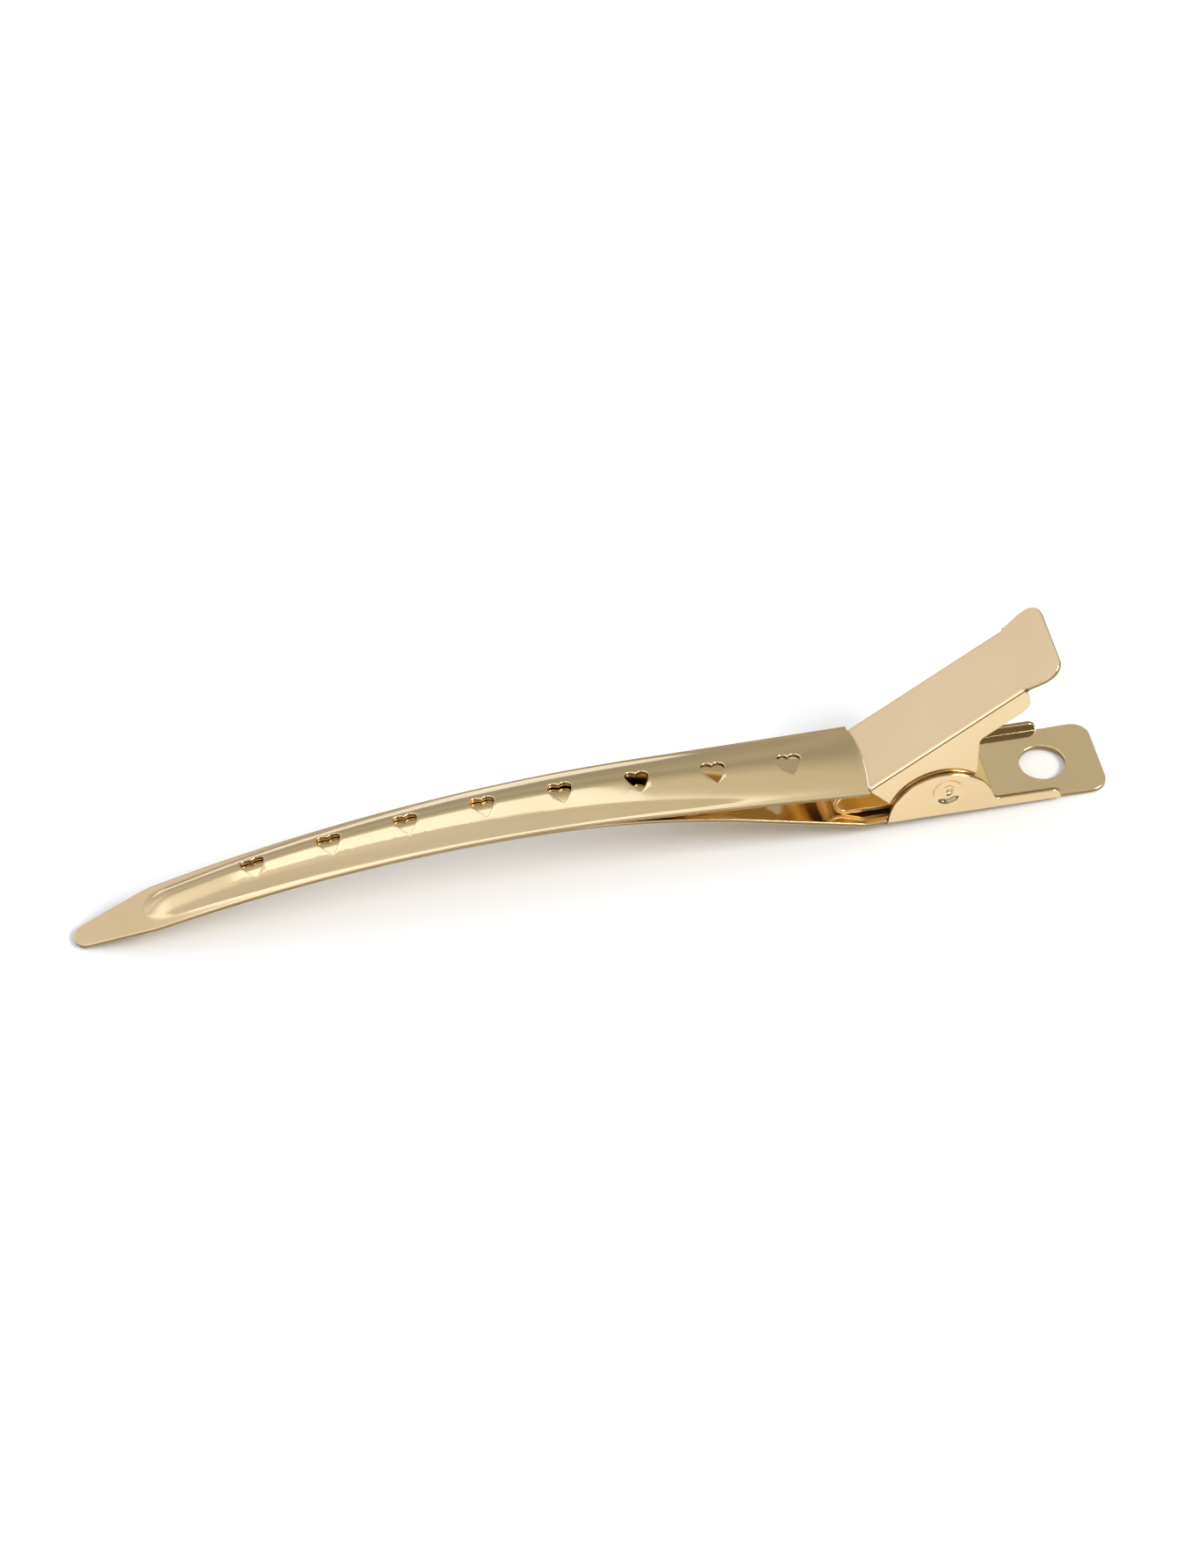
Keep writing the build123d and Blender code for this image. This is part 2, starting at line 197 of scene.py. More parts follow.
# %% Arch of the blades
blade_width = 8.35
shoulder_width = 4.85
waist_inset = 0.11
arch_rise = 1.05
arch_border = 0.25
nose_border = 0.8
upper_arch = [
    dict(place=0.00, rise=0.30, border=0.0),
    dict(place=0.10, rise=0.55, border=0.0),
    dict(place=0.25, rise=0.82, border=0.0),
    dict(place=0.45, rise=1.00, border=0.0),
    dict(place=0.65, rise=1.00, border=0.2),
    dict(place=0.85, rise=0.92, border=0.6),
    dict(place=0.95, rise=0.66, border=0.9),
    dict(place=1.02, rise=0.40, border=1.1),
]
lower_heel_arch = [
    dict(place=0.00, rise=0.01),
    dict(place=0.10, rise=0.02),
    dict(place=0.45, rise=0.38),
    dict(place=1.00, rise=1.00),
]


def read_table(table, where, column):
    """Value of a column at a place: a cubic through the rows, with the slopes of their neighbours."""
    if where <= table[0]["place"]:
        return table[0][column]
    if where >= table[-1]["place"]:
        return table[-1][column]
    after = next(number for number, row in enumerate(table) if row["place"] >= where)

    def slope(number):
        left = table[max(number - 1, 0)]
        right = table[min(number + 1, len(table) - 1)]
        return (right[column] - left[column]) / (right["place"] - left["place"])

    left, right = table[after - 1], table[after]
    span = right["place"] - left["place"]
    t = (where - left["place"]) / span
    return (
        left[column] * (1 + 2 * t) * (1 - t) ** 2
        + right[column] * t * t * (3 - 2 * t)
        + slope(after - 1) * span * t * (1 - t) ** 2
        - slope(after) * span * t * t * (1 - t)
    )


def soft_max(first, second, softness):
    """The larger of two heights, with a rounded valley where they are equal."""
    return (first + second + sqrt((first - second) ** 2 + softness**2)) / 2


def blade_width_at(where):
    along = min(max(where, 0), 1)
    return blade_width + (shoulder_width - blade_width) * along - 8 * waist_inset * along * (1 - along)


arch_end = 1.012
arch_end_run = 0.04


def half_chord(where):
    """Half the width of the arch, rounded off where it stops short of the nose."""
    border = arch_border + (nose_border - arch_border) * read_table(upper_arch, where, "border")
    past = (where - (arch_end - arch_end_run)) / arch_end_run
    return (blade_width_at(where) / 2 - border) * sqrt(1 - min(max(past, 0), 0.999) ** 2)


def upper_rise(where):
    past = (where - (arch_end - arch_end_run)) / arch_end_run
    return arch_rise * read_table(upper_arch, where, "rise") * (1 - min(max(past, 0), 0.999) ** 2)


crease = 0.08


def arch_height(across, chord, rise):
    """Height of the arch above its flat borders."""
    radius = (chord**2 + rise**2) / (2 * rise)
    arc = sqrt(max(radius**2 - across**2, 0)) - (radius - rise)
    return soft_max(arc, 0, crease * rise)


print("upper arch half way along: rise", round(upper_rise(0.5), 2), "half chord", round(half_chord(0.5), 2))

# %% [markdown]
# Now each blade is a surface: a distance along the line and a distance across it give a point. At the
# rear the upper blade runs into the thumb plate, which climbs at its own angle. Both are heights over the
# same ground there, so the larger of the two, softly rounded, is a bend like the one a press makes.

# %% Surfaces of the two jaws
lever_angle = radians(35.4)
bend_softness = 0.02
heel_bend_run = 6.0


def upper_surface(distance, across):
    x, z, heading = upper_line(distance)
    where = distance / shoulder_at
    height = arch_height(across, half_chord(where), upper_rise(where))
    x += sin(heading) * height
    z -= cos(heading) * height
    return x, across, soft_max(z, bend_z + (x - bend_x) * tan(lever_angle), bend_softness)


def lower_surface(distance, across):
    x, z, heading = lower_line(distance)
    if distance < lower_nest_at:
        share = distance / lower_nest_at
        where = nest_place * share
        rise = read_table(lower_heel_arch, share, "rise") * upper_rise(nest_place)
    else:
        share = (distance - lower_nest_at) / (lower_shoulder_at - lower_nest_at)
        where = nest_place + (1 - nest_place) * share
        rise = upper_rise(where)
    chord = sqrt(max(half_chord(where) ** 2 - 2 * nest_drop * rise, 0.01))
    height = arch_height(across, chord, rise)
    x += sin(heading) * height
    z -= cos(heading) * height
    if distance < heel_bend_run:
        z = soft_max(z, sheet, bend_softness)
    return x, across, z


print("crown of the upper blade at the bend", [round(value, 2) for value in upper_surface(0, 0)])

# %% [markdown]
# Outlines: the real sheet is cut by a punch, and a list of corners with a radius at each is how its maker
# would write one down. Rounding the corners of such a list, and arcs about a centre, draw every edge of the
# clip with points just where it curves.

# %% Outlines with round corners
def arc(centre, radius, start, end, count):
    """Points on an arc from one angle to another."""
    return [
        (centre[0] + radius * cos(start + (end - start) * step / count),
         centre[1] + radius * sin(start + (end - start) * step / count))
        for step in range(count + 1)
    ]


def rounded(corners, count=6):
    """Open line through (u, v, radius) corners, each but the ends replaced by an arc."""
    points = [corners[0][:2]]
    for before, corner, after in zip(corners, corners[1:], corners[2:]):
        radius = corner[2]
        here = Vector(corner[:2])
        back = (Vector(before[:2]) - here).normalized()
        ahead = (Vector(after[:2]) - here).normalized()
        half = back.angle(ahead) / 2
        if radius <= 0:
            points.append(tuple(here))
            continue
        middle = here + (back + ahead).normalized() * (radius / sin(half))
        start = here + back * (radius / tan(half)) - middle
        end = here + ahead * (radius / tan(half)) - middle
        for step in range(count + 1):
            spoke = start.slerp(end, step / count)
            points.append(tuple(middle + spoke.normalized() * radius))
    points.append(corners[-1][:2])
    return points


print("a square corner, rounded:", len(rounded([(1, 0, 0), (0, 0, 0.3), (0, 1, 0)])), "points")

# %% [markdown]
# Building blocks for the sheet. A jaw is drawn as one thin surface first, the side of the sheet that
# faces up or out: grids where it is curved, single flat faces where it is flat, and quarter-round strips
# along the folds. A face can't have a hole in Blender. The space could be filled with triangles, but long
# thin ones show as dents in polished metal. So it is two large faces, which meet along two short seams.
# A seam keeps clear of the slits at the ends of the folds, whose sharp corners would bend its reflections.

# %% Faces of the sheet
seam_lean = radians(35)
seam_clearance = 1.0


def add_point(mesh, x, y, z):
    return mesh.verts.new(place(x, y, z))


def seam(loop, hole, allowed, slits):
    """Shortest way from a round hole's rim out to the loop, clear of slits, as a position in each."""
    middle = sum((vert.co for vert in hole), Vector()) / len(hole)
    ways = []
    for inner in allowed:
        spoke = hole[inner].co - middle
        for outer, vert in enumerate(loop):
            way = vert.co - hole[inner].co
            clear = all((vert.co - slit).length > seam_clearance * MM for slit in slits)
            if clear and way.angle(spoke) < seam_lean:
                ways.append((way.length, outer, inner))
    return min(ways)[1:]


def ring_part(ring, start, end):
    """Vertices of a ring from one position on to another, both included."""
    return ring[start:end + 1] if start < end else ring[start:] + ring[:end + 1]


def flat_patch(mesh, loop, hole=None, toward=(0, 0, 1), slits=()):
    """Flat face over a loop of vertices; with a hole, two faces that meet along two seams."""
    rings = [loop]
    if hole:
        if geometry.normal([vert.co for vert in loop]).dot(geometry.normal([vert.co for vert in hole])) < 0:
            hole = hole[::-1]
        count = len(hole)
        outer_a, inner_a = seam(loop, hole, range(count), slits)
        far_side = [(inner_a + step) % count for step in range(count // 4, count - count // 4)]
        outer_b, inner_b = seam(loop, hole, far_side, slits)
        rings = [ring_part(loop, outer_a, outer_b) + ring_part(hole, inner_a, inner_b)[::-1],
                 ring_part(loop, outer_b, outer_a) + ring_part(hole, inner_b, inner_a)[::-1]]
    for ring in rings:
        face = mesh.faces.new(ring)
        face.normal_update()
        if face.normal.dot(Vector(toward)) < 0:
            face.normal_flip()


def quad_strip(mesh, first, second, out):
    """Quads between two rows of vertices, facing out."""
    for a, b, c, d in zip(first, first[1:], second[1:], second):
        face = mesh.faces.new((a, b, c, d))
        face.normal_update()
        if face.normal.dot(out) < 0:
            face.normal_flip()


# %% [markdown]
# Thickness and round edges. Blender's Solidify and Bevel modifiers could give both. Here the cut walls,
# whose dark brown is painted shade, and the round edges have materials of their own, and the slits at the
# ends of the folds have to stay sharp, so both are made in the mesh: a second skin, a wall along each rim,
# and a narrow bevel on the rims' edges.

# %% Thickness and round edges
shell_limit = 1.3
edge_width = 0.08
edge_segments = 3
slit_reach = 0.4


def thicken(mesh, thickness, outward=0.0):
    """Give a surface a second skin behind it, and walls round its rims in the third material, painted
    shade.
    """
    mesh.normal_update()
    front = list(mesh.verts)
    skin = list(mesh.faces)
    rims = [edge for edge in mesh.edges if edge.is_boundary]
    back = {}
    for vert in front:
        normal = vert.normal * min(vert.calc_shell_factor(), shell_limit) * thickness * MM
        back[vert] = mesh.verts.new(vert.co - normal * (1 - outward))
        vert.co += normal * outward
    for face in skin:
        mesh.faces.new([back[vert] for vert in reversed(face.verts)])
    edges = []
    for edge in rims:
        loop = edge.link_loops[0]
        a, b = loop.vert, loop.link_loop_next.vert
        wall = mesh.faces.new((b, a, back[a], back[b]))
        # The wall's material is dark brown, painted shade: the thin dark line along the sheet's cut edge.
        wall.material_index = 2
        edges += [wall.edges[0], wall.edges[2]]
    mesh.normal_update()
    return edges


def soften(mesh, edges, slits=()):
    """Round the edges, as tumbling does; the round faces take the second finish, and slits stay sharp."""
    def is_clear(edge):
        middle = (edge.verts[0].co + edge.verts[1].co) / 2
        return all((middle - slit).length > slit_reach * MM for slit in slits)

    bmesh.ops.bevel(mesh, geom=[edge for edge in edges if is_clear(edge)], offset=edge_width * MM,
                    offset_type="OFFSET", segments=edge_segments, profile=0.5, affect="EDGES",
                    clamp_overlap=False, material=1)


print("edges rounded over", edge_width, "mm in", edge_segments, "steps")

# %% [markdown]
# From mesh to piece. Smooth shading averages the directions of neighbouring faces, and on polished metal
# that bends the reflections in a large flat face next to a tiny round one. Weighted normals let the larger
# face win. The finished piece then stands for its solid in the pack and moves with its body.

# %% From mesh to piece
normal_weight = 75
alike_areas = 4e-8


def finish_piece(mesh, name, body, node):
    """Turn the mesh into an object that stands for a node and rides on its body."""
    data = bpy.data.meshes.new(name)
    mesh.normal_update()
    mesh.to_mesh(data)
    mesh.free()
    data.shade_smooth()
    piece = bpy.data.objects.new(name, data)
    bpy.context.collection.objects.link(piece)
    even = piece.modifiers.new("even_shading", "WEIGHTED_NORMAL")
    even.mode = "FACE_AREA"
    even.weight = normal_weight
    even.thresh = alike_areas
    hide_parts(node)
    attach(piece, body)
    print(name, len(data.vertices), "points", len(data.polygons), "faces")
    return piece


# %% [markdown]
# From above, a blade's sides taper a little hollow to the shoulder, then run straight to a round tip. A
# function of x says how wide it is, so that a row of points can be laid anywhere along it.

# %% Plan of a blade
tip_radius = 1.25
tip_steps = 28
shoulder_softness = 0.09


def blade_half_width(x, rear_x, rear_width, front_width, end_x):
    share = min(max((x - rear_x) / (shoulder_x - rear_x), -0.1), 1.2)
    side = (rear_width + (front_width - rear_width) * share) / 2 - 4 * waist_inset * share * (1 - share)
    start, end = nose_line(front_width, end_x)
    nose = end[1] + (x - end[0]) * (start[1] - end[1]) / (start[0] - end[0])
    return -soft_max(-side, -nose, shoulder_softness)


def nose_line(front_width, end_x):
    """Ends of the straight side of the nose: the shoulder and the point where it meets the round."""
    front = front_width / 2
    round_x = end_x + tip_radius
    reach = shoulder_x - round_x
    lean = asin((front - tip_radius) / hypot(reach, front - tip_radius))
    return (shoulder_x, front), (round_x - tip_radius * sin(lean), tip_radius * cos(lean))


print("straight side of the upper nose", nose_line(shoulder_width, tip_x))

# %% [markdown]
# The grid of a blade: rows across the clip and columns along it. The middle columns keep their place
# across the clip, so that the hearts keep their shape, and the rest fan out to the edge. Only near the
# nose, past the last heart, do the middle columns draw together. A row is drawn from the middle to the
# edge and mirrored.

# %% Columns across a blade
middle_half = 1.75
middle_share = 0.68
middle_cells = 7
side_cells = 12


def columns_at(half_width, fold_share, wing_cells):
    """Distances from the middle of one side's columns: the middle, the side, and the wing past the fold."""
    fold = fold_share * half_width
    inner = min(middle_half, middle_share * half_width)
    middle = [inner * step / middle_cells for step in range(middle_cells + 1)]
    side = [inner + (fold - inner) * step / side_cells for step in range(1, side_cells + 1)]
    wing = [fold + (half_width - fold) * step / wing_cells for step in range(1, wing_cells + 1)]
    return middle, side, wing


def grid_row(mesh, surface, distance, half_width, fold_share, wing_cells):
    middle, side, wing = columns_at(half_width, fold_share, wing_cells)
    across = middle + side + wing
    offsets = [-value for value in reversed(across[1:])] + across
    return {round(index - (len(offsets) - 1) / 2): add_point(mesh, *surface(distance, value))
            for index, value in enumerate(offsets)}


print("columns of one side:", [len(part) for part in columns_at(blade_width / 2, 0.9, 3)])

# %% [markdown]
# The hearts are punched clean through. A Boolean could cut them, but it leaves long thin faces, which show
# as dents in polished metal. So round each heart the grid is left open, and rings of faces run from the
# square opening in to its outline. Each half of a heart is a small round lobe that runs on, without a
# corner, into a much larger arc down to the point. A ray from the middle leaves the heart through the large
# disc below the place where the two touch, and through a lobe above it.

# %% Hearts
heart_count = 8
heart_pitch = 6.72
first_heart = 5.97
heart_width = 2.1
heart_height = 2.4
lobe_radius = 0.56
flank_radius = 4.0
lift = 0.25
heart_rings = 3
heart_rows = 14


def disc_exit(ray, x, y, radius):
    """Distance at which a ray from the heart's middle leaves a disc, or zero if it misses."""
    toward = ray.x * x + ray.y * y
    gap = toward**2 - (x**2 + y**2 - radius**2)
    return toward + sqrt(gap) if gap > 0 else 0


def heart_reach(angle):
    """Distance from the heart's middle to its outline; the point is at -90 degrees."""
    ray = Vector((abs(cos(angle)), sin(angle)))
    lobe = Vector((heart_width / 2 - lobe_radius, heart_height / 2 - lobe_radius - lift))
    drop = lobe.y + heart_height / 2 + lift
    span = hypot(lobe.x, drop)
    offset = flank_radius - lobe_radius
    touch = atan2(lobe.x, drop) + asin((flank_radius**2 - offset**2 - span**2) / (2 * offset * span))
    outward = Vector((cos(touch), -sin(touch)))
    touching = lobe + outward * lobe_radius
    if atan2(ray.y, ray.x) > atan2(touching.y, touching.x):
        return max(disc_exit(ray, lobe.x, lobe.y, lobe_radius),
                   disc_exit(ray, -lobe.x, lobe.y, lobe_radius))
    middle = lobe - outward * offset
    return disc_exit(ray, middle.x, middle.y, flank_radius)


def punch_heart(mesh, surface, centre, rim):
    """Rings of faces from a loop of ((along, across), vertex) in to a heart's outline."""
    previous = [vert for spot, vert in rim]
    for ring in range(1, heart_rings + 1):
        current = []
        for (along, across), vert in rim:
            # Along the clip towards the tip is -x, so the heart's own x runs the other way
            angle = atan2(across - lift, -(along - centre))
            reach = heart_reach(angle)
            goal = (centre - reach * cos(angle), lift + reach * sin(angle))
            share = ring / heart_rings
            spot = (along + (goal[0] - along) * share, across + (goal[1] - across) * share)
            current.append(add_point(mesh, *surface(*spot)))
        quad_strip(mesh, previous + previous[:1], current + current[:1], Vector((0, 0, 1)))
        previous = current


print("heart reaches", [round(heart_reach(turn * pi / 2), 2) for turn in (-1, 0, 1)], "mm down, across, up")

# %% [markdown]
# Now the rows of a blade are joined into quads, with an opening round each heart. The wing past the fold
# belongs to the blade alone, because the lever's sides are folded away there. The nose is flat, and one
# face covers it.

# %% Blade grids
def spread(start, end, step):
    """Even values from start up to end, end left out."""
    count = max(1, round((end - start) / step))
    return [start + (end - start) * number / count for number in range(count)]


def blade_grid(mesh, surface, line, distances, plan, fold_share, last_wing, wing_cells, hearts=()):
    """Rows of a blade from its lever end to its nose; returns the rows."""
    rows = []
    for distance in distances:
        half_width = plan(line(distance)[0])
        cells = wing_cells if distance >= last_wing else 0
        rows.append(grid_row(mesh, surface, distance, half_width, fold_share, cells))
    openings = []
    for centre in hearts:
        start = min(range(len(distances)), key=lambda n: abs(distances[n] - (centre - middle_half)))
        openings.append((centre, start, start + heart_rows))
    for number, (row, ahead) in enumerate(zip(rows, rows[1:])):
        for column in row:
            if column + 1 not in row or column not in ahead or column + 1 not in ahead:
                continue
            if any(start <= number < end and -middle_cells <= column < middle_cells
                   for centre, start, end in openings):
                continue
            quad_strip(mesh, [row[column], row[column + 1]], [ahead[column], ahead[column + 1]],
                       Vector((0, 0, 1)))
    for centre, start, end in openings:
        cell = middle_half / middle_cells
        loop = [(start, column) for column in range(-middle_cells, middle_cells)]
        loop += [(number, middle_cells) for number in range(start, end)]
        loop += [(end, column) for column in range(middle_cells, -middle_cells, -1)]
        loop += [(number, -middle_cells) for number in range(end, start, -1)]
        rim = [((distances[number], column * cell), rows[number][column]) for number, column in loop]
        punch_heart(mesh, surface, centre, rim)
    return rows


def nose_patch(mesh, line, distance, row, plan_end, front_width):
    """Flat nose from the grid's last row to the round tip."""
    x0, z0, heading = line(distance)
    slope = tan(heading)
    start, touch = nose_line(front_width, plan_end)
    side_angle = atan2(touch[1], touch[0] - (plan_end + tip_radius))
    outline = arc((plan_end + tip_radius, 0), tip_radius, side_angle, 2 * pi - side_angle, tip_steps)
    front = [add_point(mesh, x, y, z0 + (x - x0) * slope) for x, y in outline]
    back = [row[column] for column in sorted(row)]
    flat_patch(mesh, front + back)


print("spread from 0 to 1:", spread(0, 1, 0.25))

# %% [markdown]
# ## Upper jaw
# One sheet: the blade, the bend, the thumb plate with its sides folded down, and the unfolded end pad. It
# could be modelled as a box and bent, but a surface that is already in its bent place keeps every radius.
# The rows are close together where the blade bends into the plate and at the nose, and the flat rest of the
# plate is one face.

# %% Upper jaw, blade and plate
lever_width = 8.6
side_clearance = 0.05
fold_radius = 0.45
upper_lip_end = 16.1
upper_lip_depth = 2.2
upper_lip_corner = 1.4
upper_lever_length = 20.0
upper_pad_width = 8.4
upper_pad_corner = 1.3
folded_width = lever_width - 2 * (sheet + side_clearance)
upper_fold_share = (folded_width / 2 - fold_radius) / (blade_width / 2)
upper_wing_cells = 3
relief = 0.1
bend_rows_from = 0.7
plate_rows_from = 2.4
nose_rows_from = 2.4
nose_margin = 0.25


def upper_plan(x):
    return blade_half_width(min(x, bend_x), bend_x, blade_width, shoulder_width, tip_x)


def on_thumb_plate(along, below=0.0):
    """Side-view point along the thumb lever and below its top."""
    return (bend_x + along * cos(lever_angle) + below * sin(lever_angle),
            bend_z + along * sin(lever_angle) - below * cos(lever_angle))


hearts = [first_heart + number * heart_pitch for number in range(heart_count)]
nose_at = shoulder_at + tip_bend_radius * tip_bend + nose_margin
distances = spread(-plate_rows_from, -bend_rows_from, 0.15) + spread(-bend_rows_from, -relief, 0.05)
distances += [-relief] + spread(-relief + 0.02, relief, 0.02) + spread(relief, hearts[0] - middle_half, 0.2)
for centre in hearts:
    distances += [centre - middle_half + 2 * middle_half * row / heart_rows for row in range(heart_rows)]
    following = centre + heart_pitch - middle_half
    if centre == hearts[-1]:
        following = shoulder_at - nose_rows_from
    distances += spread(centre + middle_half, following, 0.25)
distances += spread(shoulder_at - nose_rows_from, nose_at, 0.1) + [nose_at]

upper = bmesh.new()
rows = blade_grid(upper, upper_surface, upper_line, distances, upper_plan, upper_fold_share, 0,
                  upper_wing_cells, hearts)
nose_patch(upper, upper_line, nose_at, rows[-1], tip_x, shoulder_width)
print("upper blade:", len(rows), "rows,", len(hearts), "hearts")

# %% [markdown]
# The sides of the plate fold down in a tight quarter round. A bevel on a square corner would do the same,
# but it would run on past the ends of the fold. So each point of the fold's line is carried round the
# quarter circle, and the flat flange hangs from the end of it.

# %% Folds
def fold_strip(mesh, fold_line, side, down, radius, out, count=6):
    """Quarter-round strip from a fold line, facing out; returns the last row of it."""
    previous = fold_line
    for step in range(1, count + 1):
        angle = pi / 2 * step / count
        shift = (Vector((0, side * sin(angle), 0)) + down * (1 - cos(angle))) * radius * MM
        current = [mesh.verts.new(vert.co + shift) for vert in fold_line]
        quad_strip(mesh, previous, current, out)
        previous = current
    return previous


def direction(x, z):
    return lever_along * x + lever_up * z


# %% [markdown]
# The flange is drawn from the side: from the bend down to its front corner, round the hinge, up to the low
# lip and along it. It has a round hole, in which the dimple of the lower jaw's ear turns.

# %% Upper flanges
flange_reach = 2.2
flange_bottom = 1.6
flange_front_angle = radians(41)
flange_front_fillet = 1.2
flange_heel_x = 7.7
flange_heel_z = 4.8
flange_heel_fillet = 0.8
flange_corner = 0.3
flange_steps = 24
hinge_hole_radius = 1.05
hole_steps = 40
plate_down = direction(sin(lever_angle), -cos(lever_angle))
fold_columns = middle_cells + side_cells
fold_rows = [number for number, distance in enumerate(distances) if distance < 0]

plate_side = {}
for side in (1, -1):
    end_x, end_z = on_thumb_plate(upper_lip_end)
    end = add_point(upper, end_x, side * (folded_width / 2 - fold_radius), end_z)
    line = [end] + [rows[number][side * fold_columns] for number in fold_rows]
    plate_side[side] = end
    bottom = fold_strip(upper, line, side, plate_down, fold_radius, Vector((0, side, 0)) - plate_down)
    front_x = bend_x + (bend_z - sheet - flange_bottom) / tan(flange_front_angle)
    lip_start_x, lip_start_z = on_thumb_plate(0, upper_lip_depth)
    lip_start_z += (flange_heel_x - lip_start_x) * tan(lever_angle)
    meeting = sqrt(flange_reach**2 - (hinge_z - flange_bottom) ** 2)
    front_top = on_thumb_plate(relief, fold_radius)
    lower_edge = rounded([
        (*front_top, 0),
        (front_x, flange_bottom, flange_front_fillet),
        (hinge_x - meeting, flange_bottom, 0),
    ])[1:]
    lower_edge += arc((hinge_x, hinge_z), flange_reach, pi + asin((hinge_z - flange_bottom) / flange_reach),
                      2 * pi, flange_steps)[1:-1]
    lower_edge += rounded([
        (hinge_x + flange_reach, hinge_z, 0),
        (flange_heel_x, flange_heel_z, flange_corner),
        (flange_heel_x, lip_start_z, flange_heel_fillet),
        (*on_thumb_plate(upper_lip_end, upper_lip_depth), upper_lip_corner),
        (*on_thumb_plate(upper_lip_end, fold_radius), 0),
    ])[:-1]
    y = side * folded_width / 2
    edge = [add_point(upper, x, y, z) for x, z in lower_edge]
    hole = [add_point(upper, x, y, z)
            for x, z in arc((hinge_x, hinge_z), hinge_hole_radius, 0, 2 * pi, hole_steps)[:-1]]
    flat_patch(upper, bottom + edge, hole, (0, side, 0))
print("upper flanges hang from", len(fold_rows), "rows on each side")

# %% [markdown]
# Past the lips the plate widens a little into the end pad, whose corners are round. The press tears the
# sheet a little where the fold ends, so the pad steps out there before it flares. Once the pad is on, the
# surface gets its thickness and the piece is finished.

# %% Upper end pad
pad_step = 0.08
pad_step_radius = 0.06
pad_swell = 0.03
pad_neck_radius = 1.2
pad_flare = 2.0
pad_flare_radius = 2.5
pad_inset = 0.02


def pad_outline(start, end, inner_half, outer_half, width, corner):
    """Edge of an end pad from the fold's end at +y round to the one at -y."""
    half = width / 2
    side = [
        (start, inner_half, 0),
        (start + pad_step, outer_half, pad_step_radius),
        (start + pad_flare / 4, outer_half + pad_swell, pad_neck_radius),
        (start + pad_flare, half, pad_flare_radius),
        (end, half, corner),
        (end, 0, 0),
    ]
    line = rounded(side)[1:-1]
    return line + [(u, -v) for u, v in reversed(line)]


edge = []
for along, across in pad_outline(upper_lip_end, upper_lever_length, folded_width / 2 - fold_radius,
                                 folded_width / 2 - pad_inset, upper_pad_width, upper_pad_corner):
    x, z = on_thumb_plate(along)
    edge.append(add_point(upper, x, across, z))
first_row = [rows[0][column] for column in sorted(rows[0])]
flat_patch(upper, first_row + [plate_side[1]] + edge + [plate_side[-1]])

slits = []
for side in (1, -1):
    x, z = on_thumb_plate(upper_lip_end, sheet / 2)
    slits.append(place(x, side * (folded_width - fold_radius) / 2, z))
    slits.append(place(bend_x, side * (folded_width / 2 - fold_radius / 4), bend_z - sheet / 2))
soften(upper, thicken(upper, sheet), slits)
upper_jaw = finish_piece(upper, "upper_jaw_sheet", "upper", "upper_jaw")

# %% [markdown]
# ## Lower jaw
# The same way, drawn from its inner side: the blade, the flat plate with its sides folded up into two
# round ears and two low lips, and the end pad with its round hole. Its blade is narrower towards the tip
# and ends a little sooner than the upper one, which covers it.

# %% Lower jaw, blade
lower_shoulder_inset = 0.5
tip_overhang = 2.0
ear_x = 4.7
ear_z = 0.2
ear_radius = 4.77
lip_height = 1.25
lip_end = 15.2
lip_corner = 0.78
inner_fold_radius = 0.05
inner_half = lever_width / 2 - sheet
fold_y = inner_half - inner_fold_radius
lower_fold_share = fold_y / (blade_width / 2)
ear_front = ear_x - sqrt(ear_radius**2 - (sheet + inner_fold_radius - ear_z) ** 2)
lower_front_width = shoulder_width - 2 * lower_shoulder_inset
lower_tip_x = tip_x + tip_overhang


def lower_plan(x):
    return blade_half_width(min(x, heel_x), heel_x, blade_width, lower_front_width, lower_tip_x)


lower_wing_cells = 1
lower_plate_rows_from = 3.2
heel_rows_to = 1.6
lower_nose_at = lower_shoulder_at + lower_legs[3][0] + nose_margin
wing_end = -(ear_front - relief - heel_x) / cos(heel_rise)
distances = spread(-lower_plate_rows_from, wing_end - relief, 0.2) + [wing_end - relief]
distances += spread(wing_end, heel_rows_to, 0.12)
distances += spread(heel_rows_to, lower_shoulder_at - nose_rows_from, 0.3)
distances += spread(lower_shoulder_at - nose_rows_from, lower_nose_at, 0.12) + [lower_nose_at]

lower = bmesh.new()
rows = blade_grid(lower, lower_surface, lower_line, distances, lower_plan, lower_fold_share, wing_end,
                  lower_wing_cells)
nose_patch(lower, lower_line, lower_nose_at, rows[-1], lower_tip_x, lower_front_width)
print("lower blade:", len(rows), "rows, tip at x", round(lower_tip_x, 2))

# %% [markdown]
# Each ear carries a pressed dimple, which is the hinge's pin. It could be a ball cut into the ear, but the
# real one is the same sheet, pushed in. So its faces are laid flat first, as rings about the hinge, and
# pressed in once the sheet has its thickness.

